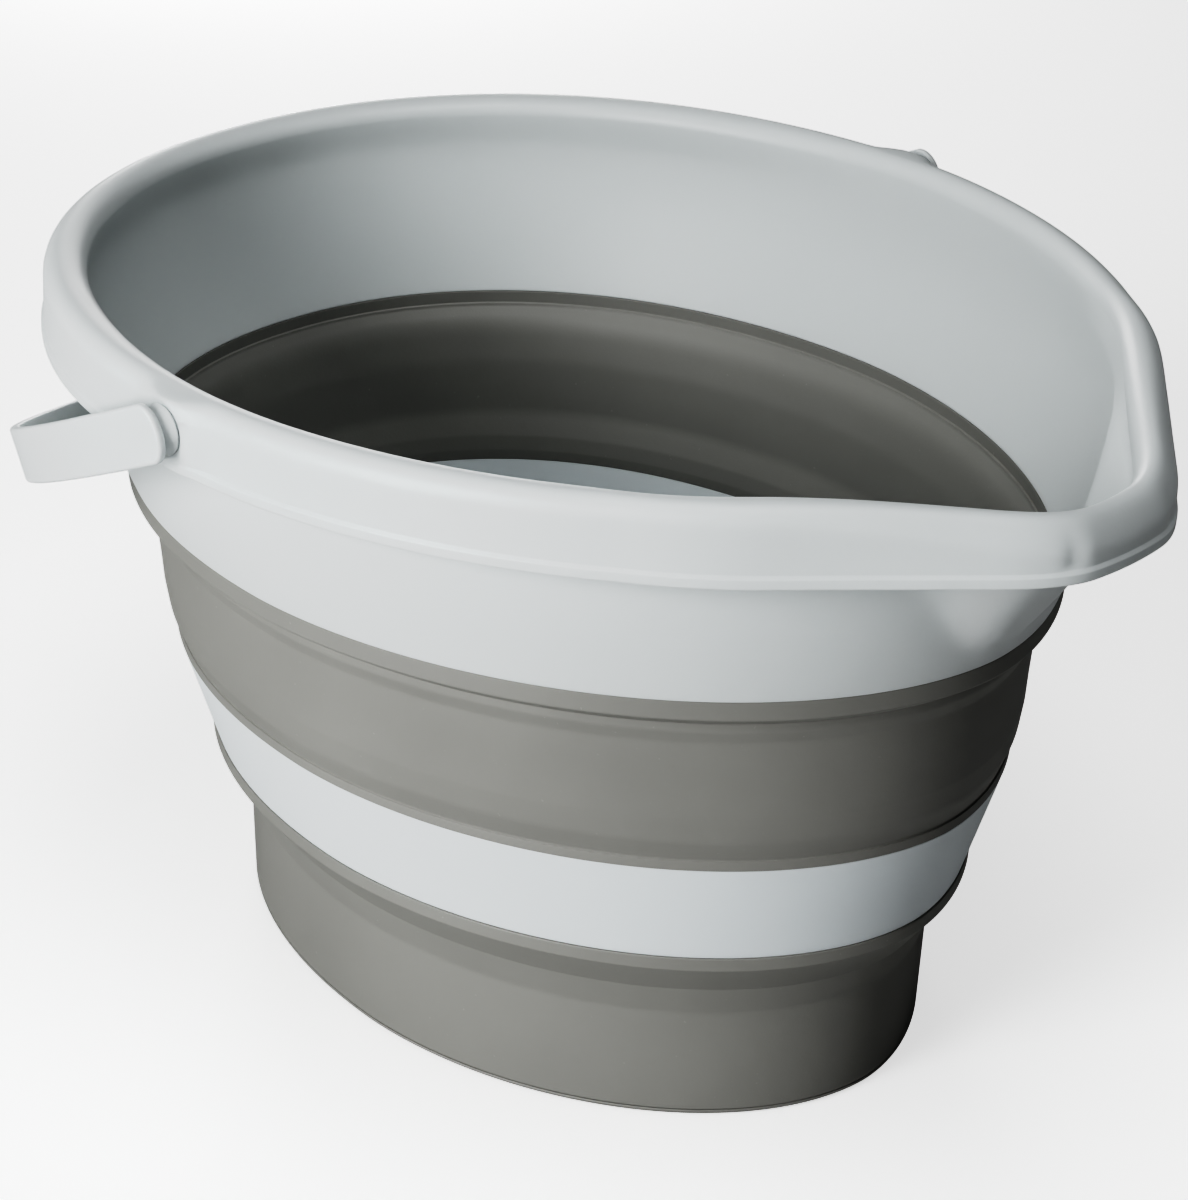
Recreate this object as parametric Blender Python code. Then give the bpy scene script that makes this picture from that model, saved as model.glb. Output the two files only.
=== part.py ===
"""Collapsible camp bucket with a pouring spout, two folding rubber bands and a swinging bail.

Metres, +Z up. The origin is the middle of the flat underside, below the bail's pivots. +X points
to the spout. Each level of the bucket is one rounded outline, told by its half width.
"""

import math

import bmesh
import bpy
from mathutils import Matrix, Vector

# Outline shared by every level, seen from above
FRONT_EXTRA = 0.0365  # the spout end reaches this much further than the half width
FRONT_EXTRA_LOSS = 0.0040  # at the foot, fading out at the height below
FRONT_LOSS_HEIGHT = 0.120
REAR_EXTRA_FOOT = 0.0346
REAR_EXTRA_RIM = 0.0285
FRONT_FULLNESS_share = 1.85  # 2 is an ellipse, more is squarer
REAR_FULLNESS_share = 2.11
AROUND = 60
FRONT_CROWDING_share = 0.25  # brings the outline's points closer together at the spout

# Heights, stacked from the ground
LOWER_BAND_HEIGHT = 0.0624
RING_HEIGHT = 0.0340
UPPER_BAND_HEIGHT = 0.0568
COLLAR_HEIGHT = 0.0624

# Half widths of the outer faces
FOOT_HALF = 0.0868
RING_BOTTOM_HALF = 0.0974
RING_TOP_HALF = 0.1067
LIP_HALF = 0.1315

# Spout
SPOUT_REACH = 0.0180
SPOUT_CORNER_REACH = 0.0143
SPOUT_NOSE_HALF = 0.0230
SPOUT_FLANK_SLOPE_share = 0.855
SPOUT_ROOT_HALF = 0.074
SPOUT_CORNER_BLEND = 0.002
SPOUT_ROOT_BLEND = 0.002
SPOUT_FADE_share = 1.32
SPOUT_DIP = 0.0060  # the lip is this much lower at the spout's nose
SPOUT_DIP_HALF = 0.080
TROUGH_FOOT_RISE = 0.0048
TROUGH_STEPS = 3

# Rim and collar moulding
WALL = 0.0029
LIP_RADIUS = 0.0053
LIP_STEPS = 6
COLLAR_TAPER = 0.0137
SKIRT_DEPTH = 0.0220
SKIRT_WALL = 0.0022
SKIRT_FLARE = 0.0002
BEAD_HEIGHT = 0.0030
BEAD_PROUD = 0.0009
BEAD_ROUND = 0.0007

# Joint of hard and soft plastic: a tongue on the hard piece, a groove in the soft lip
TONGUE_THICKNESS = 0.0012
TONGUE_DEPTH = 0.0030
FIT_GAP = 0.0003
BAND_LIP_PROUD = 0.0004
BAND_THICKNESS = 0.0022

# Upper folding band
UPPER_LIP_HEIGHT = 0.0052
UPPER_SHELF_INSET = 0.0053
UPPER_SHELF_DROP = 0.0091
UPPER_BULGE = 0.0027  # the wall stands this much further out than the ring below it
UPPER_BULGE_RISE = 0.0176
UPPER_GROOVE_INSET = 0.0015
UPPER_GROOVE_RISE = 0.0042
UPPER_FOOT_LIP_HEIGHT = 0.0036
SHOULDER_STEPS = 3
SHOULDER_END_DEG = 72.0

# Lower folding band
LOWER_LIP_HEIGHT = 0.0042
LOWER_SHELF_INSET = 0.0077
LOWER_SHELF_DROP = 0.0158
LOWER_WALL_DROP = 0.0259
LOWER_WALL_FLARE = 0.0004

# Base
FOOT_EDGE_HEIGHT = 0.0021
FOOT_CHAMFER = 0.0013
FOOT_UPSTAND_HEIGHT = 0.0085
FOOT_UPSTAND_THICKNESS = 0.0018
FOOT_FLANGE_WIDTH = 0.0108
PLATE_THICKNESS = 0.0028
PLATE_KEY_THICKNESS = 0.0010
PLATE_KEY_DEPTH = 0.0020

# Bail and its pivots
PIVOT_SETBACK = 0.0019
PIVOT_DROP = 0.0089  # below the top of the lip
BAIL_FULLNESS_share = 2.48
BAIL_DROOP_DEG = 24.9
BAIL_STEPS = 44
BAIL_REAR_CLEARANCE = 0.0036  # from the skirt's bead, as the bail swings past it
STRAP_WIDTH = 0.0158
STRAP_THICKNESS = 0.0030
STRAP_EDGE = 0.0007
EAR_THICKNESS = 0.0044
EAR_TAPER_LENGTH = 0.0260
EAR_STEPS = 6
BOSS_RADIUS = 0.0078
BOSS_STAND = 0.0031  # from the skirt
BOSS_FACE_GAP = 0.0008
STUD_RADIUS = 0.0036
STUD_HOLE_GAP = 0.0001
SNAP_RADIUS = 0.0045
SNAP_LENGTH = 0.0016
SNAP_GAP = 0.0006
PIVOT_SIDES = 28
CUT_OVERRUN = 0.002

RING_BOTTOM_HEIGHT = LOWER_BAND_HEIGHT
RING_TOP_HEIGHT = RING_BOTTOM_HEIGHT + RING_HEIGHT
COLLAR_BOTTOM_HEIGHT = RING_TOP_HEIGHT + UPPER_BAND_HEIGHT
RIM_HEIGHT = COLLAR_BOTTOM_HEIGHT + COLLAR_HEIGHT
LIP_CENTRE_HEIGHT = RIM_HEIGHT - LIP_RADIUS
SKIRT_BOTTOM_HEIGHT = RIM_HEIGHT - SKIRT_DEPTH
TROUGH_FOOT_HEIGHT = COLLAR_BOTTOM_HEIGHT + TROUGH_FOOT_RISE
COLLAR_TOP_HALF = LIP_HALF - LIP_RADIUS + WALL
COLLAR_BOTTOM_HALF = LIP_HALF - COLLAR_TAPER
SKIRT_TOP_HALF = LIP_HALF + LIP_RADIUS
SKIRT_BOTTOM_HALF = SKIRT_TOP_HALF + SKIRT_FLARE
BEAD_HALF = SKIRT_BOTTOM_HALF + BEAD_PROUD
PIVOT_HEIGHT = RIM_HEIGHT - PIVOT_DROP
BOSS_ROOT = SKIRT_TOP_HALF - SKIRT_WALL - BEAD_ROUND
BOSS_FACE = SKIRT_TOP_HALF + BOSS_STAND
EAR_INNER = BOSS_FACE + BOSS_FACE_GAP
BAIL_HALF = EAR_INNER + EAR_THICKNESS  # outer face of the strap at the pivots
BAIL_REACH = BEAD_HALF + REAR_EXTRA_RIM + BAIL_REAR_CLEARANCE + STRAP_THICKNESS - PIVOT_SETBACK
PLATE_HALF = FOOT_HALF - FOOT_FLANGE_WIDTH


def smooth_step(value):
    """0 below 0, 1 above 1, and an even rise between."""
    value = min(max(value, 0.0), 1.0)
    return value * value * (3.0 - 2.0 * value)


def blended_least(first, second, width):
    """The lesser of two values, rounded where they are within width of each other."""
    overlap = max(width - abs(first - second), 0.0)
    return min(first, second) - overlap * overlap / (4.0 * width)


def blended_most(first, second, width):
    return -blended_least(-first, -second, width)


def spout_bulge(x_oval, y, x_front, opening_share):
    """How far the spout stands out from the oval at y, where opening_share of it is formed."""
    if opening_share <= 0.0 or x_oval <= 0.0:
        return 0.0
    across = abs(y)
    nose_drop = SPOUT_REACH - SPOUT_CORNER_REACH
    nose = SPOUT_REACH * opening_share - nose_drop * across * across / (
        SPOUT_NOSE_HALF * SPOUT_NOSE_HALF * opening_share
    )
    flank_start = SPOUT_CORNER_REACH + SPOUT_FLANK_SLOPE_share * SPOUT_NOSE_HALF
    flank = flank_start * opening_share - SPOUT_FLANK_SLOPE_share * across
    spout = x_front + blended_least(nose, flank, SPOUT_CORNER_BLEND * opening_share)
    bulge = blended_most(spout, x_oval, SPOUT_ROOT_BLEND * opening_share) - x_oval
    past_root = across / SPOUT_ROOT_HALF - 1.0
    return bulge * (1.0 - smooth_step(past_root / (SPOUT_FADE_share - 1.0)))


def outline(half, height, opening_share=0.0, dip_share=0.0):
    """One closed ring of points: the bucket's outline at this half width and height.

    opening_share says how much of the spout stands out of it, dip_share how much of the dip it has.
    """
    front_loss = max(1.0 - height / FRONT_LOSS_HEIGHT, 0.0)
    front_extra = FRONT_EXTRA - FRONT_EXTRA_LOSS * front_loss * front_loss
    rear_extra = REAR_EXTRA_FOOT + (REAR_EXTRA_RIM - REAR_EXTRA_FOOT) * height / RIM_HEIGHT
    ring = []
    for step in range(AROUND):
        turn = math.tau * step / AROUND
        angle = turn - FRONT_CROWDING_share * math.sin(turn)
        across, along = math.sin(angle), math.cos(angle)
        front = along >= 0.0
        power = 2.0 / (FRONT_FULLNESS_share if front else REAR_FULLNESS_share)
        length = half + (front_extra if front else rear_extra)
        x = math.copysign(length * abs(along) ** power, along)
        y = math.copysign(half * abs(across) ** power, across)
        x += spout_bulge(x, y, half + front_extra, opening_share)
        dip = SPOUT_DIP * (1.0 - smooth_step(abs(y) / SPOUT_DIP_HALF)) if front else 0.0
        ring.append(Vector((x, y, height - dip * dip_share)))
    return ring


def plastic(name, color, roughness):
    material = bpy.data.materials.new(name)
    material.use_nodes = True
    shader = material.node_tree.nodes["Principled BSDF"]
    shader.inputs["Base Color"].default_value = (*color, 1.0)
    shader.inputs["Roughness"].default_value = roughness
    material.diffuse_color = (*color, 1.0)
    return material


def finish(name, mesh_builder, material, matrix=None):
    """Turn a bmesh into a named, smooth-shaded object with its normals outward."""
    bmesh.ops.recalc_face_normals(mesh_builder, faces=mesh_builder.faces)
    mesh = bpy.data.meshes.new(name)
    mesh_builder.to_mesh(mesh)
    mesh_builder.free()
    mesh.materials.append(material)
    mesh.shade_smooth()
    mesh.set_sharp_from_angle(angle=math.radians(32.0))
    piece = bpy.data.objects.new(name, mesh)
    if matrix:
        piece.matrix_world = matrix
    bpy.context.scene.collection.objects.link(piece)
    return piece


def join_rings(builder, rings, closed):
    """Skin a list of equal rings; closed joins the last to the first, open ones get end caps."""
    loops = [[builder.verts.new(point) for point in ring] for ring in rings]
    count = len(loops[0])
    pairs = list(zip(loops, loops[1:]))
    if closed:
        pairs.append((loops[-1], loops[0]))
    for lower, upper in pairs:
        for side in range(count):
            following = (side + 1) % count
            builder.faces.new((lower[side], lower[following], upper[following], upper[side]))
    if not closed:
        builder.faces.new(loops[0])
        builder.faces.new(loops[-1])


def moulding(name, profile, material, closed=True):
    """A piece lofted round the bucket from its section: (half width, height, opening share)."""
    builder = bmesh.new()
    rings = [outline(*point) for point in profile]
    join_rings(builder, rings, closed)
    return finish(name, builder, material)


def offset_inward(points, thickness):
    """A section line moved towards the bucket's inside by the wall thickness."""
    moved = []
    for index, (half, height) in enumerate(points):
        before = points[max(index - 1, 0)]
        after = points[min(index + 1, len(points) - 1)]
        run = Vector((after[0] - before[0], after[1] - before[1])).normalized()
        moved.append((half + run.y * thickness, height - run.x * thickness))
    return moved


def tongue(middle, height, reach):
    """The four corners of a tongue that stands reach beyond an edge at this height."""
    side = TONGUE_THICKNESS / 2.0
    return [(middle + side, height), (middle + side, height + reach)] + [
        (middle - side, height + reach),
        (middle - side, height),
    ]


def groove(middle, height, reach):
    """The four corners of the slot that takes a tongue, with its clearance, outer side first."""
    side = TONGUE_THICKNESS / 2.0 + FIT_GAP
    return [(middle + side, height), (middle + side, height + reach)] + [
        (middle - side, height + reach),
        (middle - side, height),
    ]


def collar_wall(inset):
    """The collar's outer face moved in by inset: the ring where the trough starts, and those above it."""
    rings = []
    for step in range(TROUGH_STEPS):
        height = TROUGH_FOOT_HEIGHT + (LIP_CENTRE_HEIGHT - TROUGH_FOOT_HEIGHT) * step / TROUGH_STEPS
        rise = (height - COLLAR_BOTTOM_HEIGHT) / (LIP_CENTRE_HEIGHT - COLLAR_BOTTOM_HEIGHT)
        half = COLLAR_BOTTOM_HALF + (COLLAR_TOP_HALF - COLLAR_BOTTOM_HALF) * rise
        rings.append((half - inset, height, step / TROUGH_STEPS, step / TROUGH_STEPS))
    return rings


def make_rim_collar(material):
    """Collar wall, rolled lip and skirt in one moulding, with the spout and the pivot bosses."""
    lip = []
    for step in range(LIP_STEPS + 1):
        angle = math.pi * (1.0 - step / LIP_STEPS)
        half = LIP_HALF + LIP_RADIUS * math.cos(angle)
        lip.append((half, LIP_CENTRE_HEIGHT + LIP_RADIUS * math.sin(angle), 1.0, 1.0))
    bead_top = SKIRT_BOTTOM_HEIGHT + BEAD_HEIGHT
    skirt = [
        (SKIRT_BOTTOM_HALF, bead_top + BEAD_ROUND, 1.0),
        (BEAD_HALF, bead_top, 1.0),
        (BEAD_HALF, SKIRT_BOTTOM_HEIGHT + BEAD_ROUND, 1.0),
        (BEAD_HALF - BEAD_ROUND, SKIRT_BOTTOM_HEIGHT, 1.0),
        (SKIRT_BOTTOM_HALF - SKIRT_WALL, SKIRT_BOTTOM_HEIGHT, 1.0),
    ]
    channel = [
        (SKIRT_TOP_HALF - SKIRT_WALL, LIP_CENTRE_HEIGHT, 1.0, 1.0),
        (LIP_HALF, RIM_HEIGHT - WALL, 1.0, 1.0),
        (COLLAR_TOP_HALF, LIP_CENTRE_HEIGHT, 1.0, 1.0),
    ]
    edge = tongue(COLLAR_BOTTOM_HALF - WALL / 2.0, COLLAR_BOTTOM_HEIGHT, -TONGUE_DEPTH)
    profile = [(COLLAR_BOTTOM_HALF - WALL, COLLAR_BOTTOM_HEIGHT)] + collar_wall(WALL) + lip + skirt + channel
    profile += collar_wall(0.0)[::-1] + [(COLLAR_BOTTOM_HALF, COLLAR_BOTTOM_HEIGHT)] + edge
    collar = moulding("rim_collar", profile, material)
    for side, label in ((-1.0, "near"), (1.0, "far")):
        boss = pivot_cylinder("boss_" + label, BOSS_RADIUS, side, BOSS_ROOT, BOSS_FACE, material)
        hole_radius = STUD_RADIUS + STUD_HOLE_GAP
        hole_mouth = BOSS_FACE + CUT_OVERRUN
        hole = pivot_cylinder("hole_" + label, hole_radius, side, LIP_HALF, hole_mouth, material)
        combine(collar, boss, "UNION")
        combine(collar, hole, "DIFFERENCE")
    return collar


def pivot_cylinder(name, radius, side, start, end, material):
    """A guide cylinder on the pivot axis, from start to end, on the side of this sign."""
    builder = bmesh.new()
    rings = []
    for across in (start, end):
        ring = []
        for step in range(PIVOT_SIDES):
            angle = math.tau * (step + 0.5) / PIVOT_SIDES
            x = radius * math.cos(angle) - PIVOT_SETBACK
            ring.append(Vector((x, side * across, PIVOT_HEIGHT + radius * math.sin(angle))))
        rings.append(ring)
    join_rings(builder, rings, False)
    guide = finish(name, builder, material)
    guide.hide_render = True
    guide.display_type = "WIRE"
    return guide


def combine(piece, helper, operation):
    modifier = piece.modifiers.new(helper.name, "BOOLEAN")
    modifier.operation = operation
    modifier.object = helper


def make_middle_ring(material):
    top_middle = RING_TOP_HALF - WALL / 2.0
    bottom_middle = RING_BOTTOM_HALF - WALL / 2.0
    profile = [(RING_TOP_HALF, RING_TOP_HEIGHT), (RING_BOTTOM_HALF, RING_BOTTOM_HEIGHT)]
    profile += tongue(bottom_middle, RING_BOTTOM_HEIGHT, -TONGUE_DEPTH)
    profile += [(RING_BOTTOM_HALF - WALL, RING_BOTTOM_HEIGHT), (RING_TOP_HALF - WALL, RING_TOP_HEIGHT)]
    profile += reversed(tongue(top_middle, RING_TOP_HEIGHT, TONGUE_DEPTH))
    return moulding("middle_ring", profile, material)


def make_upper_band(material):
    """The soft band between collar and ring: lip, sloping shelf, crease, bulging wall, lower lip."""
    top = COLLAR_BOTTOM_HEIGHT - FIT_GAP
    bottom = RING_TOP_HEIGHT + FIT_GAP
    top_outer = COLLAR_BOTTOM_HALF + BAND_LIP_PROUD
    top_inner = COLLAR_BOTTOM_HALF - WALL - BAND_LIP_PROUD
    bottom_outer = RING_TOP_HALF + BAND_LIP_PROUD
    bottom_inner = RING_TOP_HALF - WALL - BAND_LIP_PROUD
    lip_bottom = COLLAR_BOTTOM_HEIGHT - UPPER_LIP_HEIGHT
    foot_lip_top = RING_TOP_HEIGHT + UPPER_FOOT_LIP_HEIGHT
    wall = [(COLLAR_BOTTOM_HALF - UPPER_SHELF_INSET, COLLAR_BOTTOM_HEIGHT - UPPER_SHELF_DROP)]
    round_width = UPPER_BULGE + UPPER_GROOVE_INSET
    round_height = UPPER_BULGE_RISE - UPPER_GROOVE_RISE
    for step in range(SHOULDER_STEPS + 1):
        angle = math.radians(SHOULDER_END_DEG) * step / SHOULDER_STEPS
        half = RING_TOP_HALF - UPPER_GROOVE_INSET + round_width * math.cos(angle)
        wall.append((half, RING_TOP_HEIGHT + UPPER_BULGE_RISE - round_height * math.sin(angle)))
    inner_wall = offset_inward(wall, BAND_THICKNESS)
    reach = TONGUE_DEPTH + FIT_GAP
    profile = [(top_outer, top), (top_outer, lip_bottom)] + wall
    profile += [(bottom_outer, foot_lip_top), (bottom_outer, bottom)]
    profile += groove(RING_TOP_HALF - WALL / 2.0, bottom, reach)
    profile += [(bottom_inner, bottom), (bottom_inner, foot_lip_top)] + inner_wall[::-1]
    profile += [(top_inner, lip_bottom), (top_inner, top)]
    profile += reversed(groove(COLLAR_BOTTOM_HALF - WALL / 2.0, top, -reach))
    return moulding("upper_fold_band", profile, material)


def make_lower_band(material):
    """The soft band between ring and foot: lip, sloping shelf, crease and a straight wall."""
    top = RING_BOTTOM_HEIGHT - FIT_GAP
    top_outer = RING_BOTTOM_HALF + BAND_LIP_PROUD
    top_inner = RING_BOTTOM_HALF - WALL - BAND_LIP_PROUD
    lip_bottom = RING_BOTTOM_HEIGHT - LOWER_LIP_HEIGHT
    wall = [
        (RING_BOTTOM_HALF - LOWER_SHELF_INSET, RING_BOTTOM_HEIGHT - LOWER_SHELF_DROP),
        (FOOT_HALF + LOWER_WALL_FLARE, RING_BOTTOM_HEIGHT - LOWER_WALL_DROP),
        (FOOT_HALF, FOOT_EDGE_HEIGHT + FIT_GAP),
    ]
    inner_wall = [(half - BAND_THICKNESS, height) for half, height in wall]
    profile = [(top_outer, top), (top_outer, lip_bottom)] + wall + inner_wall[::-1]
    profile += [(top_inner, lip_bottom), (top_inner, top)]
    profile += reversed(groove(RING_BOTTOM_HALF - WALL / 2.0, top, -TONGUE_DEPTH - FIT_GAP))
    return moulding("lower_fold_band", profile, material)


def key_heights():
    """Bottom and top of the key on the floor plate's edge."""
    middle = PLATE_THICKNESS / 2.0
    return middle - PLATE_KEY_THICKNESS / 2.0, middle + PLATE_KEY_THICKNESS / 2.0


def make_base_foot(material):
    """The soft ring round the floor plate, which the bucket stands on and the lower band grips."""
    upstand_outer = FOOT_HALF - BAND_THICKNESS - FIT_GAP
    upstand_inner = upstand_outer - FOOT_UPSTAND_THICKNESS
    seat = PLATE_HALF + FIT_GAP
    key_bottom, key_top = key_heights()
    profile = [
        (upstand_outer, FOOT_UPSTAND_HEIGHT),
        (upstand_outer, FOOT_EDGE_HEIGHT),
        (FOOT_HALF, FOOT_EDGE_HEIGHT),
        (FOOT_HALF - FOOT_CHAMFER, 0.0),
        (seat, 0.0),
        (seat, key_bottom - FIT_GAP),
        (seat + PLATE_KEY_DEPTH, key_bottom - FIT_GAP),
        (seat + PLATE_KEY_DEPTH, key_top + FIT_GAP),
        (seat, key_top + FIT_GAP),
        (seat, PLATE_THICKNESS),
        (upstand_inner, FOOT_UPSTAND_HEIGHT),
    ]
    return moulding("base_foot", profile, material)


def make_base_plate(material):
    """The hard floor of the bucket, flat underneath, with a key round its edge."""
    key_bottom, key_top = key_heights()
    profile = [
        (PLATE_HALF, 0.0),
        (PLATE_HALF, key_bottom),
        (PLATE_HALF + PLATE_KEY_DEPTH, key_bottom),
        (PLATE_HALF + PLATE_KEY_DEPTH, key_top),
        (PLATE_HALF, key_top),
        (PLATE_HALF, PLATE_THICKNESS),
    ]
    return moulding("base_plate", profile, material, closed=False)


def strap_section(place, outward, inner_depth, half_width):
    """Eight corners of the strap's section; place is on its outer face."""
    side = Vector((0.0, 0.0, 1.0))
    edge = min(STRAP_EDGE, half_width / 2.0)
    corners = [
        (half_width - edge, 0.0),
        (half_width, edge),
        (half_width, inner_depth - edge),
        (half_width - edge, inner_depth),
    ]
    corners += [(-across, depth) for across, depth in reversed(corners)]
    return [place + side * across - outward * depth for across, depth in corners]


def bail_sections():
    """The strap from ear to ear, level in its own frame: pivots on Y, the loop towards -X."""
    half_width = STRAP_WIDTH / 2.0
    power = 2.0 / BAIL_FULLNESS_share
    ear = []
    for step in range(EAR_STEPS):
        angle = math.pi / 2.0 * (step + 0.5) / EAR_STEPS
        ahead = Vector((half_width * math.cos(angle), -BAIL_HALF, 0.0))
        outward = Vector((0.0, -1.0, 0.0))
        ear.append(strap_section(ahead, outward, EAR_THICKNESS, half_width * math.sin(angle)))
    loop = []
    for step in range(BAIL_STEPS + 1):
        angle = math.pi * step / BAIL_STEPS
        across, back = math.cos(angle), max(math.sin(angle), 0.0)
        sideways = math.copysign(abs(across) ** power, across)
        place = Vector((-BAIL_REACH * back**power, -BAIL_HALF * sideways, 0.0))
        slope_x = -abs(place.x / BAIL_REACH) ** (BAIL_FULLNESS_share - 1.0) / BAIL_REACH
        slope_y = abs(place.y / BAIL_HALF) ** (BAIL_FULLNESS_share - 1.0) / BAIL_HALF
        slope_y = math.copysign(slope_y, place.y)
        outward = Vector((slope_x, slope_y, 0.0)).normalized()
        taper = smooth_step(-place.x / EAR_TAPER_LENGTH)
        depth = EAR_THICKNESS + (STRAP_THICKNESS - EAR_THICKNESS) * taper
        loop.append(strap_section(place, outward, depth, half_width))
    other_ear = [[Vector((p.x, -p.y, p.z)) for p in section] for section in reversed(ear)]
    return ear + loop + other_ear


def make_bail(material):
    """The strap handle, hung on its pivots at its resting droop, with a snap stud in each ear."""
    builder = bmesh.new()
    join_rings(builder, bail_sections(), False)
    droop = Matrix.Rotation(math.radians(-BAIL_DROOP_DEG), 4, "Y")
    at_pivot = Matrix.Translation((-PIVOT_SETBACK, 0.0, PIVOT_HEIGHT))
    bail = finish("handle_bail", builder, material, at_pivot @ droop)
    root = EAR_INNER + EAR_THICKNESS / 2.0
    snap_face = BOSS_ROOT - SNAP_GAP
    start = snap_face - SNAP_LENGTH
    stud_start = start + SNAP_LENGTH / 2.0
    for side, label in ((-1.0, "near"), (1.0, "far")):
        stud = pivot_cylinder("stud_" + label, STUD_RADIUS, side, stud_start, root, material)
        snap = pivot_cylinder("snap_" + label, SNAP_RADIUS, side, start, snap_face, material)
        for helper in (stud, snap):
            combine(bail, helper, "UNION")
    return bail


def main():
    for leftover in list(bpy.data.objects):
        bpy.data.objects.remove(leftover)
    shell = plastic("light_grey_polypropylene", (0.70, 0.73, 0.73), 0.42)
    bail = plastic("light_grey_bail_polypropylene", (0.72, 0.74, 0.74), 0.40)
    white = plastic("white_polypropylene", (0.76, 0.79, 0.80), 0.42)
    floor = plastic("light_grey_floor_polypropylene", (0.70, 0.73, 0.73), 0.45)
    upper = plastic("warm_grey_rubber_upper", (0.22, 0.22, 0.205), 0.55)
    lower = plastic("warm_grey_rubber_lower", (0.22, 0.22, 0.205), 0.55)
    foot = plastic("warm_grey_rubber_foot", (0.20, 0.20, 0.19), 0.60)
    make_rim_collar(shell)
    make_upper_band(upper)
    make_middle_ring(white)
    make_lower_band(lower)
    make_base_foot(foot)
    make_base_plate(floor)
    make_bail(bail)


main()
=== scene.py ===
"""Studio picture of a collapsible camp bucket, laid out as a Blender add-on.

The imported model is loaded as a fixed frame. Each piece made here stands for one of its nodes, with
the finer outline, softer edges and finish of the moulded bucket.

Lengths are in metres. X runs from the rear to the spout, Y from one pivot to the other and Z up
from the ground. A half width is half the bucket's width across Y at some level.
"""

import math

import bmesh
import bpy
from bpy.props import FloatProperty, FloatVectorProperty, IntProperty, PointerProperty
from mathutils import Matrix, Vector


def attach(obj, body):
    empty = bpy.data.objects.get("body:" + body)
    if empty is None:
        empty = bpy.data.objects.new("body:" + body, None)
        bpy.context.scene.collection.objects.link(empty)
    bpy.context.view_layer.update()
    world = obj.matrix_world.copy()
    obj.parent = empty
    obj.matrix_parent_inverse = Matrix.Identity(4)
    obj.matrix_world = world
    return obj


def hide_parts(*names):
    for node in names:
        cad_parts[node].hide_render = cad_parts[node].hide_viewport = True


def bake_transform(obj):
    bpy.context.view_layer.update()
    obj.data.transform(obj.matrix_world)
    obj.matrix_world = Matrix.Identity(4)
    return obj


bl_info = {
    "name": "Folding bucket studio",
    "version": (1, 0, 0),
    "blender": (4, 5, 0),
    "location": "3D View > Sidebar > Bucket",
    "description": "Dresses the packed folding bucket and sets up its studio",
    "category": "Object",
}

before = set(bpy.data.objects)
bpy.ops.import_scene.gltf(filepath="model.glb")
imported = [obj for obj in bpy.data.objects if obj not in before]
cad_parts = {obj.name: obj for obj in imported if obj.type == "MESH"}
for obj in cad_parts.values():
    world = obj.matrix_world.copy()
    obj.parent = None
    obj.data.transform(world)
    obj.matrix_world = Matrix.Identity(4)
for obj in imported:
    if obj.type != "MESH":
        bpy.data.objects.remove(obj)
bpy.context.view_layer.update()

# Outline of the bucket from above, as in the solids
FRONT_EXTRA = 0.0365
FRONT_EXTRA_LOSS = 0.0040
FRONT_LOSS_HEIGHT = 0.120
REAR_EXTRA_FOOT = 0.0346
REAR_EXTRA_RIM = 0.0285
FRONT_FULLNESS = 1.85
REAR_FULLNESS = 2.11
FRONT_CROWDING = 0.5

# Levels, half widths and walls of the moulded pieces
RIM_HEIGHT = 0.2156
COLLAR_BOTTOM = 0.1532
RING_TOP = 0.0964
RING_BOTTOM = 0.0624
FOOT_EDGE = 0.0024
LIP_HALF = 0.1315
LIP_RADIUS = 0.0053
SKIRT_HALF = 0.1368
COLLAR_BOTTOM_HALF = 0.1178
RING_TOP_HALF = 0.1067
RING_BOTTOM_HALF = 0.0974
FOOT_HALF = 0.0873
WALL = 0.0029
BAND_WALL = 0.0022
SKIRT_WALL = 0.0022
RING_EDGE = 0.0004
JOINT_GAP = 0.00004
LIP_CENTRE = RIM_HEIGHT - LIP_RADIUS
WALL_TOP_HALF = LIP_HALF - LIP_RADIUS + WALL

# Floor plate, with a tongue round its edge that sits in a groove of the foot
PLATE_HALF = 0.0760
PLATE_THICKNESS = 0.0028
PLATE_EDGE = 0.0003
TONGUE_DEPTH = 0.0020
TONGUE_BOTTOM = 0.0009
TONGUE_TOP = 0.0019
PLATE_GAP = 0.0003

# Steps along each curve, and the cleaning of the meshes
CORNER_STEPS = 4
BAND_CORNER_STEPS = 6
CORNER_SHARE = 0.48
TROUGH_STEPS = 14
LIP_STEPS = 14
SKIRT_STEPS = 8
STRAP_STEPS = 200
EAR_STEPS = 16
EDGE_STEPS = 6
BOSS_SEGMENTS = 64
STUD_SEGMENTS = 40
MERGE_DISTANCE = 1e-7
NORMAL_WEIGHT = 60

# Spout, and the trough in the collar's wall below it
SPOUT_REACH = 0.0184
SPOUT_CORNER = 0.0070
SPOUT_CORNER_REACH = 0.0158
SPOUT_NOSE_HALF = 0.0219
SPOUT_FLANK_SLOPE = 0.90
SPOUT_SKIN_LOSS = 0.345
SPOUT_ROOT_HALF = 0.074
SPOUT_ROOT_SPREAD = 0.20
SPOUT_FADE = 1.32
TROUGH_FOOT = 0.1580
TROUGH_STEEPENING = 0.95
TROUGH_NARROWING = 0.12
TROUGH_CLOSING = 1.15
TROUGH_CORNER_INNER = 0.0025
TROUGH_CORNER_OUTER = 0.013
TROUGH_CORNER_EXTRA = 0.009

# Broader roll of the lip at the spout
SPILL_START = 0.05
SPILL_HALF = 0.022
SPILL_FADE = 0.055
SPILL_SHARE = 0.9
SPILL_DEPTH = 0.0115
CREST_DEPTH = 0.0060

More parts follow.
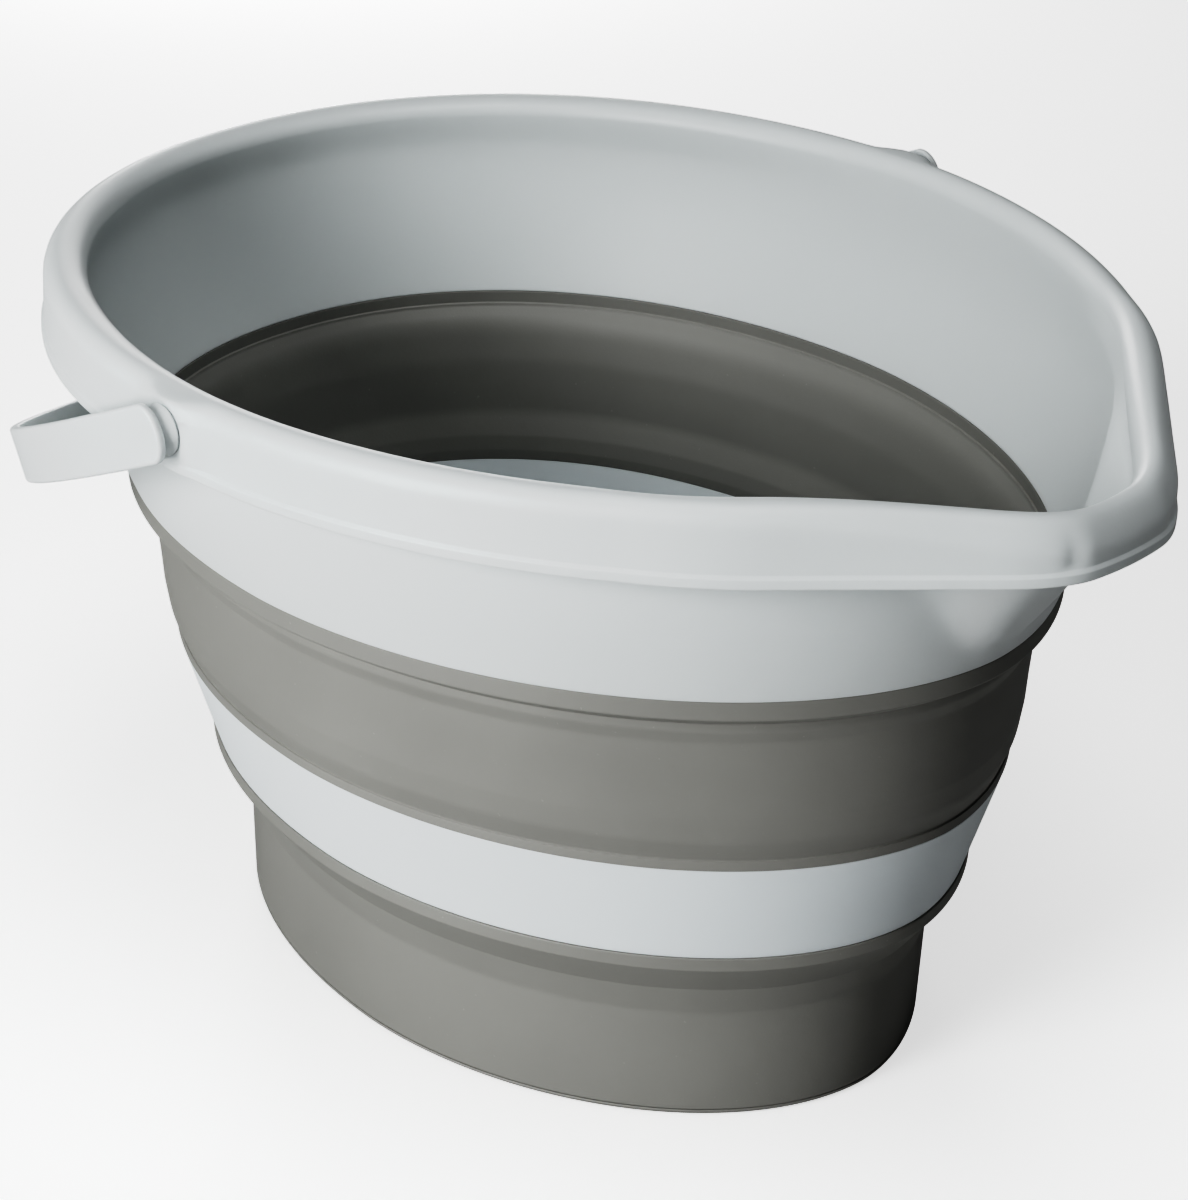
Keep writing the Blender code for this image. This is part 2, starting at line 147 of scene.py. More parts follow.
# Fold beside each corner of the spout
FOLD_START = 0.15
FOLD_FROM_MIDDLE = 0.0180
FOLD_REACH = 0.009
FOLD_WIDTH = 0.0024
FOLD_FACE = 0.1955
FOLD_FACE_SLOPE = 0.855
FOLD_FACE_FADE = 0.0040
FOLD_FOOT_FADE = 0.0020
FOLD_TOP = 0.2025
FOLD_TOP_FADE = 0.0065

# Rear of the rim
REAR_MARGIN = 0.001
REAR_ONSET = 0.07
REAR_ROLL_DEPTH = 0.010
REAR_FLARE_START = 0.0010
REAR_FLARE_FADE = 0.0020

# Swelling of the skirt under each boss
MOUND_TOP_RADIUS = 0.0075
MOUND_SLOPE = 0.0075
MOUND_EDGE_FADE = 0.0030
MOUND_FACE = 0.1389

# Bosses and snap studs, as (radius, distance from the bucket's middle)
BOSS_PROFILE = (
    (0.0062, 0.1372),
    (0.0062, 0.1391),
    (0.0068, 0.1393),
    (0.0069, 0.1396),
    (0.0068, 0.1399),
    (0.0058, 0.1414),
    (0.0054, 0.1420),
    (0.0051, 0.1424),
    (0.0048, 0.1425),
    (0.0040, 0.1425),
)
STUD_PROFILE = (
    (0.0040, 0.1321),
    (0.0045, 0.1325),
    (0.0045, 0.1331),
    (0.0036, 0.1333),
    (0.0036, 0.1434),
)

# Bail
PIVOT = Vector((-0.0019, 0.0, 0.2067))
BAIL_HALF = 0.1451
BAIL_REACH = 0.1711
BAIL_FULLNESS = 2.56
BAIL_DROOP = math.radians(24.9)
EAR_ROUNDING = 0.0010
EAR_REACH = 0.80
EAR_THICKNESS = 0.0023
EAR_BLEND = 0.026
STRAP_ROUNDING = 0.0009
INNER_EDGE_SHARE = 0.9

# Where a noise is read as its lowest and its highest
NOISE_LOW = 0.3
NOISE_HIGH = 0.7

# Studio, with the camera's sensor in millimetres
SENSOR_WIDTH = 36.0
FLOOR_HALF = 40.0
FLOOR_SQUARES = 8
BACKGROUND_GLOW = 0.9

# Print curve: the light at its end, and the lights that it is drawn through
TONE_END = 2.2
TONE_LIGHTS = (0.0, 0.05, 0.1, 0.15, 0.2, 0.28, 0.36, 0.45, 0.55, 0.7, 0.85, 1.0, 1.2, 1.5, 1.8)
TONE_CEILING = 0.84
TONE_MIDDLE = 0.438
TONE_CONTRAST = 2.04
TONE_TAIL_START = 1.05
TONE_TAIL_SLOPE = 0.22


class BucketSizes(bpy.types.PropertyGroup):
    """Sizes of the bucket's edges and of its spout's lip."""

    around: IntProperty(
        name="Points around",
        description="Points in each loop of the mouldings",
        default=360,
        min=60,
    )
    bead_proud: FloatProperty(
        name="Bead",
        description="How far the skirt's bead stands out",
        default=0.0007,
        subtype="DISTANCE",
    )
    skirt_depth: FloatProperty(
        name="Skirt depth",
        description="From the top of the lip to the skirt's edge",
        default=0.0209,
        subtype="DISTANCE",
    )
    bead_height: FloatProperty(
        name="Bead height",
        description="Height of the skirt's bead",
        default=0.0031,
        subtype="DISTANCE",
    )
    corner_fold: FloatProperty(
        name="Corner fold",
        description="Depth of the fold at each corner of the spout",
        default=0.0006,
        subtype="DISTANCE",
    )
    collar_swell: FloatProperty(
        name="Collar swell",
        description="How far the collar's wall bows out at half its height",
        default=0.0024,
        subtype="DISTANCE",
    )
    rear_roll: FloatProperty(
        name="Rear roll",
        description="How much further the lip rolls inward at the rear",
        default=0.0016,
        subtype="DISTANCE",
    )
    rear_flare: FloatProperty(
        name="Rear flare",
        description="How far the skirt flares at the rear",
        default=0.0011,
        subtype="DISTANCE",
    )
    crest_shift: FloatProperty(
        name="Crest shift",
        description="How far inward the lip's crest lies at the spout",
        default=0.0010,
        subtype="DISTANCE",
    )
    spout_dip: FloatProperty(
        name="Spout dip",
        description="How much lower the lip is at the spout's nose",
        default=0.0060,
        subtype="DISTANCE",
    )
    spout_dip_half: FloatProperty(
        name="Dip half width",
        description="Half the width that the dip takes",
        default=0.070,
        subtype="DISTANCE",
    )
    strap_width: FloatProperty(
        name="Strap width",
        description="Width of the bail's strap",
        default=0.0158,
        subtype="DISTANCE",
    )
    strap_thickness: FloatProperty(
        name="Strap thickness",
        description="Thickness of the bail's strap",
        default=0.0030,
        subtype="DISTANCE",
    )


class BucketFinish(bpy.types.PropertyGroup):
    """Colours and gloss of the two plastics."""

    hard_colour: FloatVectorProperty(
        name="Collar",
        description="Hard plastic of the collar and the bail",
        default=(0.68, 0.715, 0.72),
        subtype="COLOR",
    )
    ring_colour: FloatVectorProperty(
        name="Ring",
        description="Hard plastic of the middle ring",
        default=(0.74, 0.79, 0.81),
        subtype="COLOR",
    )
    soft_colour: FloatVectorProperty(
        name="Bands",
        description="Soft plastic of the folding bands",
        default=(0.226, 0.226, 0.212),
        subtype="COLOR",
    )
    hard_roughness: FloatProperty(
        name="Hard roughness", description="Roughness of the hard plastic", default=0.42
    )
    soft_roughness: FloatProperty(
        name="Soft roughness", description="Roughness of the soft plastic", default=0.60
    )


class BucketStudio(bpy.types.PropertyGroup):
    """Light, floor and camera."""

    key_power: FloatProperty(
        name="Key light", description="Power of the key light", default=18.0, unit="POWER"
    )
    low_power: FloatProperty(
        name="Low light",
        description="Power of the light at the bucket's own height",
        default=9.5,
        unit="POWER",
    )
    rear_power: FloatProperty(
        name="Rear light",
        description="Power of the light behind the bucket",
        default=8.5,
        unit="POWER",
    )
    top_power: FloatProperty(
        name="Top light", description="Power of the top light", default=9.6, unit="POWER"
    )
    sky: FloatProperty(
        name="Sky", description="Strength of the even light from all sides", default=0.035
    )
    floor_colour: FloatVectorProperty(
        name="Floor", description="Colour of the floor", default=(0.93, 0.93, 0.93), subtype="COLOR"
    )
    floor_glow: FloatProperty(
        name="Floor glow", description="How much brighter the floor looks", default=0.8
    )
    floor_bounce: FloatProperty(
        name="Floor bounce", description="Share of light that the floor returns", default=0.56
    )
    lens: FloatProperty(name="Lens", description="Focal length in millimetres", default=81.29)
    azimuth: FloatProperty(
        name="Azimuth",
        description="Camera's angle round the bucket",
        default=math.radians(47.665),
        subtype="ANGLE",
    )
    elevation: FloatProperty(
        name="Elevation",
        description="Camera's angle above the ground",
        default=math.radians(28.209),
        subtype="ANGLE",
    )
    roll: FloatProperty(
        name="Roll", description="Camera's roll", default=math.radians(0.079), subtype="ANGLE"
    )
    distance: FloatProperty(
        name="Distance",
        description="From the camera to its target",
        default=0.8018,
        subtype="DISTANCE",
    )
    target: FloatVectorProperty(
        name="Target",
        description="Point that the camera faces",
        default=(0.00201, 0.00231, 0.10895),
        subtype="XYZ",
    )


def smooth_step(value):
    """0 below 0, 1 above 1, and an even rise between."""
    value = min(max(value, 0.0), 1.0)
    return value * value * (3.0 - 2.0 * value)


def blended_least(first, second, width):
    """The lesser of two values, rounded where they are within width of each other."""
    overlap = max(width - abs(first - second), 0.0)
    return min(first, second) - overlap * overlap / (4.0 * width)


def spout_bulge(x_oval, y, x_front, opening, corner, depth):
    """How far the spout stands out from the oval at y, where this share of it is open.

    depth is how far the ring lies inside the skirt's face, and corner rounds the spout's corners.
    """
    if opening <= 0.0 or x_oval <= 0.0:
        return 0.0
    across = abs(y)
    nose_half = SPOUT_NOSE_HALF * opening**TROUGH_NARROWING
    slope = SPOUT_FLANK_SLOPE + TROUGH_STEEPENING * (1.0 - opening)
    drop = (SPOUT_REACH - SPOUT_CORNER_REACH) * (across / nose_half) ** 2
    nose = (SPOUT_REACH - drop) * opening
    flank = SPOUT_CORNER_REACH * opening + slope * (nose_half - across)
    flank -= SPOUT_SKIN_LOSS * depth * opening * opening
    spout = x_front + blended_least(nose, flank, corner)
    bulge = -blended_least(-spout, -x_oval, 0.5 * corner * opening) - x_oval
    root = SPOUT_ROOT_HALF * (1.0 - SPOUT_ROOT_SPREAD + SPOUT_ROOT_SPREAD * opening**3)
    past_root = (across / root - 1.0) / (SPOUT_FADE - 1.0)
    return bulge * (1.0 - smooth_step(past_root))


def dip_share(sizes, y):
    """How much of the spout's dip the lip takes at y."""
    return 1.0 - smooth_step(abs(y) / sizes.spout_dip_half)


def outline(half, height, opening=0.0, dip=0.0, corner=SPOUT_CORNER):
    """One closed ring of points of the bucket at this half width and height."""
    sizes = bpy.context.scene.bucket_sizes
    loss = max(1.0 - height / FRONT_LOSS_HEIGHT, 0.0)
    front_length = half + FRONT_EXTRA - FRONT_EXTRA_LOSS * loss * loss
    rear_length = half + REAR_EXTRA_FOOT
    rear_length += (REAR_EXTRA_RIM - REAR_EXTRA_FOOT) * height / RIM_HEIGHT
    skin_depth = max(SKIRT_HALF - half, 0.0)
    ring = []
    for step in range(sizes.around):
        turn = math.tau * step / sizes.around
        angle = turn - FRONT_CROWDING * math.sin(turn)
        across, along = math.sin(angle), math.cos(angle)
        front = along >= 0.0
        power = 2.0 / (FRONT_FULLNESS if front else REAR_FULLNESS)
        length = front_length if front else rear_length
        x = math.copysign(length * abs(along) ** power, along)
        y = math.copysign(half * abs(across) ** power, across)
        lowered = 0.0
        if front:
            x += spout_bulge(x, y, front_length, opening, corner, skin_depth)
            lowered = dip * sizes.spout_dip * dip_share(sizes, y)
        ring.append(Vector((x, y, height - lowered)))
    return ring


def softened(profile, steps=CORNER_STEPS):
    """Round each corner of a closed section.

    A corner is (half width, height, radius, opening, dip, spout corner), the last three optional.
    opening and dip are the shares of the spout's bulge and dip that the ring takes.
    """
    plain = (0.0, 0.0, SPOUT_CORNER)
    corners = [tuple(corner) + plain[len(corner) - 3 :] for corner in profile]
    result = []
    for index, (half, height, radius, opening, dip, rounding) in enumerate(corners):
        if radius <= 0.0:
            result.append((half, height, opening, dip, rounding))
            continue
        before, after = corners[index - 1], corners[(index + 1) % len(corners)]
        here = Vector((half, height))
        to_before = Vector(before[:2]) - here
        to_after = Vector(after[:2]) - here
        bend = math.pi - to_before.angle(to_after)
        trim = radius * math.tan(bend / 2.0)
        first = min(trim / to_before.length, CORNER_SHARE)
        last = min(trim / to_after.length, CORNER_SHARE)
        middle = Vector((half, height, opening, dip))
        start = middle.lerp(Vector(before[:2] + before[3:5]), first)
        end = middle.lerp(Vector(after[:2] + after[3:5]), last)
        for step in range(steps + 1):
            u = step / steps
            point = start * (1.0 - u) ** 2 + middle * 2.0 * u * (1.0 - u) + end * u * u
            result.append(tuple(point) + (rounding,))
    return result


def finish_mesh(name, builder, material, weighted=True):
    """Link a bmesh as a smooth-shaded piece with its normals outward."""
    bmesh.ops.recalc_face_normals(builder, faces=builder.faces)
    mesh = bpy.data.meshes.new(name)
    builder.to_mesh(mesh)
    builder.free()
    mesh.materials.append(material)
    mesh.shade_smooth()
    piece = bpy.data.objects.new(name, mesh)
    bpy.context.scene.collection.objects.link(piece)
    if weighted:
        modifier = piece.modifiers.new("even_shading", "WEIGHTED_NORMAL")
        modifier.weight = NORMAL_WEIGHT
        modifier.keep_sharp = True
    return piece


def skin(builder, rings):
    """Join equal rings, each to the next, and return their loops of points."""
    loops = [[builder.verts.new(point) for point in ring] for ring in rings]
    for lower, upper in zip(loops, loops[1:]):
        join_loops(builder, lower, upper)
    return loops


def join_loops(builder, lower, upper):
    """Fill the strip between two loops of points."""
    for side in range(len(lower)):
        following = (side + 1) % len(lower)
        builder.faces.new((lower[side], lower[following], upper[following], upper[side]))


def capped_skin(builder, rings):
    """Join rings and close both ends."""
    loops = skin(builder, rings)
    builder.faces.new(loops[0])
    builder.faces.new(loops[-1])


def moulding(name, section, material):
    """A closed ring-shaped piece lofted round the bucket from its section."""
    builder = bmesh.new()
    loops = skin(builder, [outline(*point) for point in section])
    join_loops(builder, loops[-1], loops[0])
    return finish_mesh(name, builder, material)


def node_link(tree, from_node, output, to_node, socket):
    """Link a node's output to another node's input, both by name."""
    tree.links.new(from_node.outputs[output], to_node.inputs[socket])


def set_inputs(node, values):
    """Set a node's inputs from a dictionary of names and values."""
    for name, value in values.items():
        node.inputs[name].default_value = value


def noise(tree, scale, detail, roughness=0.5):
    """A noise texture in the bucket's own coordinates."""
    place = tree.nodes.new("ShaderNodeTexCoord")
    texture = tree.nodes.new("ShaderNodeTexNoise")
    set_inputs(texture, {"Scale": scale, "Detail": detail, "Roughness": roughness})
    node_link(tree, place, "Object", texture, "Vector")
    return texture


def ranged(tree, source, output, from_range, to_range):
    """Map a node's value from one range to another."""
    mapped = tree.nodes.new("ShaderNodeMapRange")
    values = {"From Min": from_range[0], "From Max": from_range[1]}
    values.update({"To Min": to_range[0], "To Max": to_range[1]})
    set_inputs(mapped, values)
    node_link(tree, source, output, mapped, "Value")
    return mapped


def noise_range(tree, texture, low, high):
    """Spread a noise over the values from low to high."""
    return ranged(tree, texture, "Fac", (NOISE_LOW, NOISE_HIGH), (low, high))


def shaded(colour, share):
    """A colour made darker or lighter by this share, with full alpha."""
    return tuple(min(channel * share, 1.0) for channel in colour) + (1.0,)


def colour_mix(tree, first, second):
    """A node that mixes two colours."""
    mix = tree.nodes.new("ShaderNodeMix")
    mix.data_type = "RGBA"
    set_inputs(mix, {"A": first, "B": second})
    return mix


def varied_colour(tree, texture, colour, darker, lighter):
    """A colour that drifts between a darker and a lighter shade with a texture."""
    mix = colour_mix(tree, shaded(colour, darker), shaded(colour, lighter))
    node_link(tree, noise_range(tree, texture, 0.0, 1.0), "Result", mix, "Factor")
    return mix


def bumped(tree, layers):
    """Chain bump nodes: each layer is (texture, strength, distance)."""
    previous = None
    for texture, strength, distance in layers:
        bump = tree.nodes.new("ShaderNodeBump")
        set_inputs(bump, {"Strength": strength, "Distance": distance})
        node_link(tree, texture, "Fac", bump, "Height")
        if previous:
            node_link(tree, previous, "Normal", bump, "Normal")
        previous = bump
    return previous


def new_material(name):
    """A material with its node tree and its main shader."""
    material = bpy.data.materials.new(name)
    material.use_nodes = True
    return material, material.node_tree, material.node_tree.nodes["Principled BSDF"]


def hard_plastic(name, colour, roughness):
    """Satin moulded polypropylene: a fine eggshell texture with faint flow in the colour."""
    material, tree, shader = new_material(name)
    cloud = noise(tree, scale=9.0, detail=3.0)
    grain = noise(tree, scale=1400.0, detail=2.0)
    sink = noise(tree, scale=26.0, detail=1.0)
    tint = varied_colour(tree, cloud, colour, darker=0.985, lighter=1.01)
    gloss = noise_range(tree, cloud, roughness - 0.03, roughness + 0.05)
    relief = bumped(tree, [(sink, 0.25, 0.0006), (grain, 0.22, 0.00008)])
    node_link(tree, tint, "Result", shader, "Base Color")
    node_link(tree, gloss, "Result", shader, "Roughness")
    node_link(tree, relief, "Normal", shader, "Normal")
    set_inputs(
        shader,
        {
            "IOR": 1.49,
            "Specular IOR Level": 0.42,
            "Subsurface Weight": 0.35,
            "Subsurface Radius": (1.0, 1.0, 1.0),
            "Subsurface Scale": 0.0035,
        },
    )
    return material


def soft_plastic(name, colour, roughness):
    """Satin rubbery plastic: a soft shine, a fine grain and specks of dust."""
    material, tree, shader = new_material(name)
    cloud = noise(tree, scale=14.0, detail=4.0)
    grain = noise(tree, scale=1100.0, detail=3.0, roughness=0.6)
    ripple = noise(tree, scale=38.0, detail=2.0)
    dots = noise(tree, scale=620.0, detail=1.0)
    tint = varied_colour(tree, cloud, colour, darker=0.95, lighter=1.05)
    speck = ranged(tree, dots, "Fac", (0.76, 0.83), (0.0, 0.25))
    dust = colour_mix(tree, shaded(colour, 1.0), shaded(colour, 1.9))
    gloss = noise_range(tree, cloud, roughness - 0.05, roughness + 0.06)
    relief = bumped(tree, [(ripple, 0.30, 0.0007), (grain, 0.30, 0.00009)])
    node_link(tree, speck, "Result", dust, "Factor")
    node_link(tree, tint, "Result", dust, "A")
    node_link(tree, dust, "Result", shader, "Base Color")
    node_link(tree, gloss, "Result", shader, "Roughness")
    node_link(tree, relief, "Normal", shader, "Normal")
    set_inputs(shader, {"IOR": 1.55, "Specular IOR Level": 0.9})
    return material


def collar_wall(inset, corner):
    """One face of the collar's wall, with the trough in it, from the trough's foot to the lip.

    inset is how far the face lies inside the outer one, and corner rounds the trough's corners.
    """
    swell = bpy.context.scene.bucket_sizes.collar_swell
    rings = []
    for step in range(TROUGH_STEPS):
        share = step / TROUGH_STEPS
        height = TROUGH_FOOT + (LIP_CENTRE - TROUGH_FOOT) * share
        rise = (height - COLLAR_BOTTOM) / (LIP_CENTRE - COLLAR_BOTTOM)
        half = COLLAR_BOTTOM_HALF + (WALL_TOP_HALF - COLLAR_BOTTOM_HALF) * rise
        half += swell * 4.0 * rise * (1.0 - rise)
        rounding = corner + TROUGH_CORNER_EXTRA * (1.0 - share)
        rings.append((half - inset, height, 0.0, share**TROUGH_CLOSING, share, rounding))
    return rings


def collar_lip():
    """The rolled top of the collar, from its inner to its outer side."""
    rings = []
    for step in range(LIP_STEPS + 1):
        angle = math.pi * (1.0 - step / LIP_STEPS)
        half = LIP_HALF + LIP_RADIUS * math.cos(angle)
        rings.append((half, LIP_CENTRE + LIP_RADIUS * math.sin(angle), 0.0, 1.0, 1.0))
    return rings


def collar_skirt(sizes):
    """The skirt's outer face, its bead and its inner face back up under the lip."""
    bottom = RIM_HEIGHT - sizes.skirt_depth
    bead_top = bottom + sizes.bead_height
    bead_half = SKIRT_HALF + sizes.bead_proud
    face_top, face_bottom = LIP_CENTRE - 0.0015, bead_top + 0.0014
    rings = []
    for step in range(SKIRT_STEPS + 1):
        share = step / SKIRT_STEPS
        height = face_top + (face_bottom - face_top) * share
        rings.append((SKIRT_HALF, height, 0.0, 1.0, 1.0 - share))
    return rings + [
        (SKIRT_HALF, bead_top + 0.0007, 0.0006, 1.0),
        (bead_half, bead_top - 0.0003, 0.0007, 1.0),
        (bead_half - 0.0001, bottom, 0.0008, 1.0),
        (SKIRT_HALF - 0.0020, bottom, 0.0006, 1.0),
        (SKIRT_HALF - SKIRT_WALL, LIP_CENTRE, 0.0, 1.0, 1.0),
        (LIP_HALF, RIM_HEIGHT - WALL, 0.0015, 1.0, 1.0),
        (WALL_TOP_HALF, LIP_CENTRE, 0.0, 1.0, 1.0),
    ]


def collar_section():
    """The collar's closed section: up its inner face, round the lip and skirt, and down."""
    section = [
        (COLLAR_BOTTOM_HALF, COLLAR_BOTTOM, 0.0002),
        (COLLAR_BOTTOM_HALF - WALL, COLLAR_BOTTOM, 0.0004),
    ]
    section += collar_wall(WALL, TROUGH_CORNER_INNER)
    section += collar_lip()
    section += collar_skirt(bpy.context.scene.bucket_sizes)
    section += collar_wall(0.0, TROUGH_CORNER_OUTER)[::-1]
    return softened(section)


def upper_band_section():
    """Lip, shelf, crease, bulging wall and foot lip of the upper fold, then its inner face."""
    outer = [
        (COLLAR_BOTTOM_HALF, COLLAR_BOTTOM - JOINT_GAP, 0.0002),
        (COLLAR_BOTTOM_HALF, 0.1478, 0.0012),
        (0.1125, 0.1441, 0.0007),
        (0.1124, 0.1414, 0.0050),
        (0.1111, 0.1376, 0.0060),
        (0.1108, 0.1320, 0.0160),
        (0.1101, 0.1220, 0.0160),
        (0.1097, 0.1140, 0.0160),
        (0.1087, 0.1062, 0.0120),
        (0.1063, 0.0999, 0.0008),
        (0.1063, 0.0995, 0.0002),
        (0.1067, 0.0993, 0.0003),
        (0.1068, RING_TOP + JOINT_GAP, 0.0003),
    ]
    inner = [
        (0.1038, RING_TOP + JOINT_GAP, 0.0003),
        (0.1037, 0.1000, 0.0050),
        (0.1044, 0.1050, 0.0080),
        (0.1068, 0.1130, 0.0160),
        (0.1073, 0.1220, 0.0160),
        (0.1079, 0.1310, 0.0300),
        (0.1103, 0.1436, 0.0200),
        (0.1139, 0.1484, 0.0020),
        (0.1141, 0.1492, 0.0003),
        (0.1147, 0.1494, 0.0003),
        (0.1149, COLLAR_BOTTOM - JOINT_GAP, 0.0003),
    ]
    return softened(outer + inner, BAND_CORNER_STEPS)


def lower_band_section():
    """Lip, shelf, crease and straight wall of the lower fold, then its inner face."""
    outer = [
        (0.0978, RING_BOTTOM - JOINT_GAP, 0.0005),
        (0.0979, 0.0584, 0.0010),
        (0.0899, 0.0466, 0.0030),
        (0.0872, 0.0365, 0.0080),
        (FOOT_HALF, FOOT_EDGE, 0.0003),
    ]
    inner = [
        (FOOT_HALF - BAND_WALL, FOOT_EDGE, 0.0003),
        (0.0872 - BAND_WALL, 0.0362, 0.0080),
        (0.0899 - BAND_WALL, 0.0472, 0.0030),
        (0.0941, 0.0588, 0.0010),
        (0.0941, RING_BOTTOM - JOINT_GAP, 0.0005),
    ]
    return softened(outer + inner, BAND_CORNER_STEPS)


def ring_section():
    """The hard ring between the folds, a plain tapered wall."""
    corners = [
        (RING_TOP_HALF, RING_TOP),
        (RING_BOTTOM_HALF, RING_BOTTOM),
        (RING_BOTTOM_HALF - WALL, RING_BOTTOM),
        (RING_TOP_HALF - WALL, RING_TOP),
    ]
    return softened([corner + (RING_EDGE,) for corner in corners])


def foot_section():
    """The soft ring that the bucket stands on, with the groove for the floor plate's tongue."""
    seat = PLATE_HALF + PLATE_GAP
    groove = seat + TONGUE_DEPTH
    groove_bottom, groove_top = TONGUE_BOTTOM - PLATE_GAP, TONGUE_TOP + PLATE_GAP
    return softened(
        [
            (0.0825, 0.0085, 0.0006),
            (0.0843, 0.0085, 0.0004),
            (0.0843, 0.0021, 0.0),
            (FOOT_HALF, 0.0021, 0.0004),
            (FOOT_HALF, 0.0013, 0.0006),
            (FOOT_HALF - 0.0013, 0.0, 0.0006),
            (seat, 0.0, 0.0003),
            (seat, groove_bottom, 0.0),
            (groove, groove_bottom, 0.0),
            (groove, groove_top, 0.0),
            (seat, groove_top, 0.0),
            (seat, PLATE_THICKNESS, 0.0003),
        ]
    )


def make_floor_plate(material):
    """The hard floor, as (half width, height): upper face, tongue at the edge, lower face.

    The tongue is a closed ring against the plate's edge, so its inner side lies in the plate.
    """
    bevel = PLATE_HALF - PLATE_EDGE
    tip = PLATE_HALF + TONGUE_DEPTH
    top = [(half, PLATE_THICKNESS) for half in (0.0400, 0.0700, bevel)]
    top.append((PLATE_HALF, PLATE_THICKNESS - PLATE_EDGE))
    tongue = [(PLATE_HALF, TONGUE_BOTTOM), (tip, TONGUE_BOTTOM)]
    tongue += [(tip, TONGUE_TOP), (PLATE_HALF, TONGUE_TOP)]
    bottom = [(PLATE_HALF, PLATE_EDGE)] + [(half, 0.0) for half in (bevel, 0.0700, 0.0400)]
    builder = bmesh.new()
    capped_skin(builder, [outline(*ring) for ring in top + tongue[-1:] + tongue + bottom])
    bmesh.ops.remove_doubles(builder, verts=builder.verts, dist=MERGE_DISTANCE)
    return finish_mesh("floor_plate", builder, material, weighted=False)


def bail_stations():
    """Places along the strap, with the bail level: (position, outward, thickness, edge radius)."""
    strap_thickness = bpy.context.scene.bucket_sizes.strap_thickness
    power = 2.0 / BAIL_FULLNESS
    slope_power = BAIL_FULLNESS - 1.0
    stations = []
    for step in range(STRAP_STEPS + 1):
        angle = math.pi * step / STRAP_STEPS
        across, back = math.cos(angle), max(math.sin(angle), 0.0)
        x = -BAIL_REACH * back**power
        y = -BAIL_HALF * math.copysign(abs(across) ** power, across)
        slope_x = -(abs(x / BAIL_REACH) ** slope_power) / BAIL_REACH
        slope_y = math.copysign(abs(y / BAIL_HALF) ** slope_power, y) / BAIL_HALF
        outward = Vector((slope_x, slope_y, 0.0)).normalized()
        share = smooth_step(-x / EAR_BLEND)
        thickness = EAR_THICKNESS + (strap_thickness - EAR_THICKNESS) * share
        edge = EAR_ROUNDING + (STRAP_ROUNDING - EAR_ROUNDING) * share
        stations.append((Vector((x, y, 0.0)), outward, thickness, edge))
    return stations


def edge_profile(thickness, edge):
    """(inset, depth) pairs round one long edge of the strap, from its outer to its inner face."""
    outer, inner = [], []
    inner_edge = min(STRAP_ROUNDING, INNER_EDGE_SHARE * (thickness - edge))
    for step in range(EDGE_STEPS + 1):
        angle = math.pi / 2.0 * step / EDGE_STEPS
        across, down = 1.0 - math.sin(angle), 1.0 - math.cos(angle)
        outer.append((edge * across, edge * down))
        inner.append((inner_edge * across, thickness - inner_edge * down))
    return outer + inner[::-1]


def strap_ring(place, outward, thickness, edge, half, turn=None):
    """One closed ring of the strap, across it at place.

    In an ear, turn runs from 0 at its tip to a quarter turn where the full width is reached.
    """
    upper, lower = [], []
    for inset, depth in edge_profile(thickness, edge):
        point, width = place - outward * depth, half - inset
        if turn is not None:
            point.x += width * EAR_REACH * math.cos(turn)
            width *= math.sin(turn)
        upper.append(point + Vector((0.0, 0.0, width)))
        lower.append(point - Vector((0.0, 0.0, width)))
    return upper + lower[::-1]


def ear_rings(mirror, half):
    """Rings of one rounded ear, from its tip back to the pivot."""
    place, outward = Vector((0.0, mirror * BAIL_HALF, 0.0)), Vector((0.0, mirror, 0.0))
    turns = [math.pi / 2.0 * step / EAR_STEPS for step in range(EAR_STEPS)]
    return [strap_ring(place, outward, EAR_THICKNESS, EAR_ROUNDING, half, turn) for turn in turns]


def make_strap(material):
    """The bail's strap with rounded ears and softened edges."""
    half = bpy.context.scene.bucket_sizes.strap_width / 2.0
    strap_rings = [strap_ring(*station, half) for station in bail_stations()]
    builder = bmesh.new()
    skin(builder, ear_rings(-1.0, half) + strap_rings + ear_rings(1.0, half)[::-1])
    bmesh.ops.remove_doubles(builder, verts=builder.verts, dist=MERGE_DISTANCE)
    strap = finish_mesh("bail_strap", builder, material)
    strap.data.transform(Matrix.Translation(PIVOT) @ Matrix.Rotation(-BAIL_DROOP, 4, "Y"))
    return strap


def turned_pair(name, profile, segments, material):
    """A solid turned on the pivot axis, at both ends of it."""
    angles = [math.tau * step / segments for step in range(segments)]
    builder = bmesh.new()
    for side in (-1.0, 1.0):
        rings = []
        for radius, across in profile:
            middle = Vector((PIVOT.x, side * across, PIVOT.z))
            spokes = [Vector((math.cos(angle), 0.0, math.sin(angle))) for angle in angles]
            rings.append([middle + spoke * radius for spoke in spokes])
        capped_skin(builder, rings)
    return finish_mesh(name, builder, material)


def raise_mounds(piece):
    """Swell the skirt's outer face gently under the two bosses."""
    for vertex in piece.data.vertices:
        place = vertex.co
        across = abs(place.y)
        if across < LIP_HALF:
            continue
        away = math.hypot(place.x - PIVOT.x, place.z - PIVOT.z)
        share = 1.0 - smooth_step((away - MOUND_TOP_RADIUS) / MOUND_SLOPE)
        share *= smooth_step((across - LIP_HALF) / MOUND_EDGE_FADE)
        lift = max(MOUND_FACE - across, 0.0)
        place.y = math.copysign(across + lift * share, place.y)


